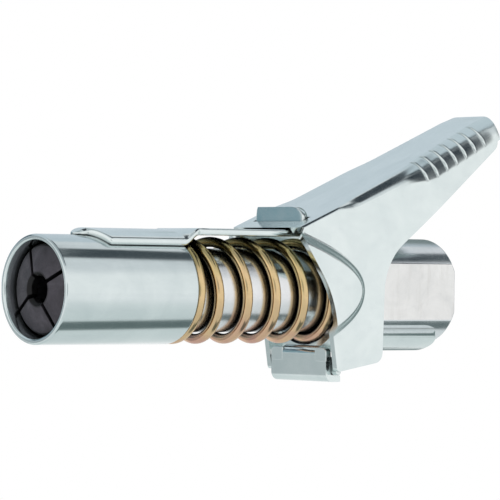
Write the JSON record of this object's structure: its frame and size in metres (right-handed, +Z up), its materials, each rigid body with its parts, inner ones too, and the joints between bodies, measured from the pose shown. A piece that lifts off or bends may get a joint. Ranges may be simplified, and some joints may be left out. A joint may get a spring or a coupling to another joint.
{
  "type": "grease coupler",
  "caption": "Lever-lock grease coupler: a thumb lever pulls a sprung sleeve back so that four jaws open and let go of a grease nipple.",
  "frame": {"origin": "centre of the hose inlet at the rear face", "axes": "+X along the axis from the hose inlet to the nose, +Z up towards the thumb lever, +Y to the left seen from behind"},
  "size_m": [0.1301, 0.028, 0.0626],
  "materials": {
    "zinc_plate": "bright zinc plating",
    "milled_steel": "zinc plating over milled and turned steel",
    "yellow_chromate": "yellow chromate plating",
    "black_steel": "black oxide",
    "rubber": "smooth nitrile",
    "brass": "turned",
    "bright_steel": "polished"
  },
  "bodies": {
    "body": {"inlet_body": "milled_steel", "stem_tube": "zinc_plate", "stem_seal": "rubber", "fulcrum_bracket": "zinc_plate", "return_spring": "yellow_chromate", "jaw_band": "rubber", "piston_spring": "bright_steel", "check_seat": "brass"},
    "lever": {"thumb_lever": "zinc_plate"},
    "sleeve": {"outer_sleeve": "zinc_plate", "pull_strap": "zinc_plate"},
    "jaw_1": {"jaw_1": "black_steel"},
    "jaw_2": {"jaw_2": "black_steel"},
    "jaw_3": {"jaw_3": "black_steel"},
    "jaw_4": {"jaw_4": "black_steel"},
    "seal": {"nozzle_seal": "rubber", "seal_piston": "brass", "piston_ring": "rubber"},
    "ball": {"check_ball": "bright_steel"}
  },
  "joints": [
    {"name": "lever_press", "type": "hinge", "parent": "body", "child": "lever", "pos_m": [0.0369, 0, -0.0183], "axis": [0, -1, 0], "range_deg": [0, 18], "stiffness_Nm_per_rad": 0.3, "springref_deg": -8.59},
    {"name": "sleeve_slide", "type": "slide", "parent": "body", "child": "sleeve", "axis": [-1, 0, 0], "range_m": [0, 0.01057], "deforming": ["return_spring"]},
    {"name": "jaw_1_open", "type": "hinge", "parent": "body", "child": "jaw_1", "pos_m": [0.0978, 0.0022, 0.00769], "axis": [0, -0.9613, 0.2756], "range_deg": [0, 3.52]},
    {"name": "jaw_2_open", "type": "hinge", "parent": "body", "child": "jaw_2", "pos_m": [0.0978, -0.00769, 0.0022], "axis": [0, -0.2756, -0.9613], "range_deg": [0, 3.52]},
    {"name": "jaw_3_open", "type": "hinge", "parent": "body", "child": "jaw_3", "pos_m": [0.0978, -0.0022, -0.00769], "axis": [0, 0.9613, -0.2756], "range_deg": [0, 3.52]},
    {"name": "jaw_4_open", "type": "hinge", "parent": "body", "child": "jaw_4", "pos_m": [0.0978, 0.00769, -0.0022], "axis": [0, 0.2756, 0.9613], "range_deg": [0, 3.52]},
    {"name": "seal_slide", "type": "slide", "parent": "body", "child": "seal", "axis": [-1, 0, 0], "range_m": [0, 0.0015], "stiffness_N_per_m": 80, "springref_m": -0.0005, "deforming": ["piston_spring"]},
    {"name": "ball_lift", "type": "slide", "parent": "body", "child": "ball", "axis": [1, 0, 0], "range_m": [0, 0.0012], "stiffness_N_per_m": 30, "springref_m": -0.0003, "deforming": ["piston_spring"]}
  ],
  "couplings": [
    {"joint": "sleeve_slide", "follows": "lever_press", "m_per_rad": 0.033581},
    {"joint": "jaw_1_open", "follows": "lever_press", "ratio": 0.19444},
    {"joint": "jaw_2_open", "follows": "lever_press", "ratio": 0.19444},
    {"joint": "jaw_3_open", "follows": "lever_press", "ratio": 0.19444},
    {"joint": "jaw_4_open", "follows": "lever_press", "ratio": 0.19444}
  ]
}
